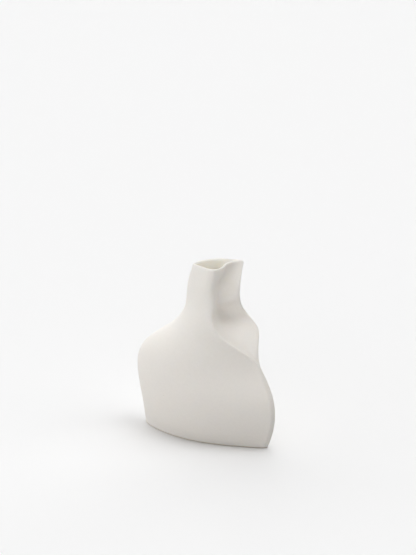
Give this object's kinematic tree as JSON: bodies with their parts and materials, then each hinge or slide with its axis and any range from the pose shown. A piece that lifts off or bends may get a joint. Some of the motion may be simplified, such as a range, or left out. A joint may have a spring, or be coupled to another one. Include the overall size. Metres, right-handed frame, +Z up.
{
  "type": "pillow vase",
  "caption": "Porcelain pillow vase with a lens-shaped foot, a swelling twisted body, a folded-in right shoulder and a small tear-shaped mouth.",
  "frame": {"origin": "middle of the foot, on the surface that the vase stands on", "axes": "+X along the foot towards its sharp end, +Y to the back, +Z up through the mouth"},
  "size_m": [0.179, 0.0789, 0.2],
  "materials": {
    "porcelain": "matt"
  },
  "bodies": {
    "root": {"front_wall": "porcelain", "side_fold": "porcelain", "back_wall": "porcelain", "base_slab": "porcelain"}
  },
  "joints": []
}
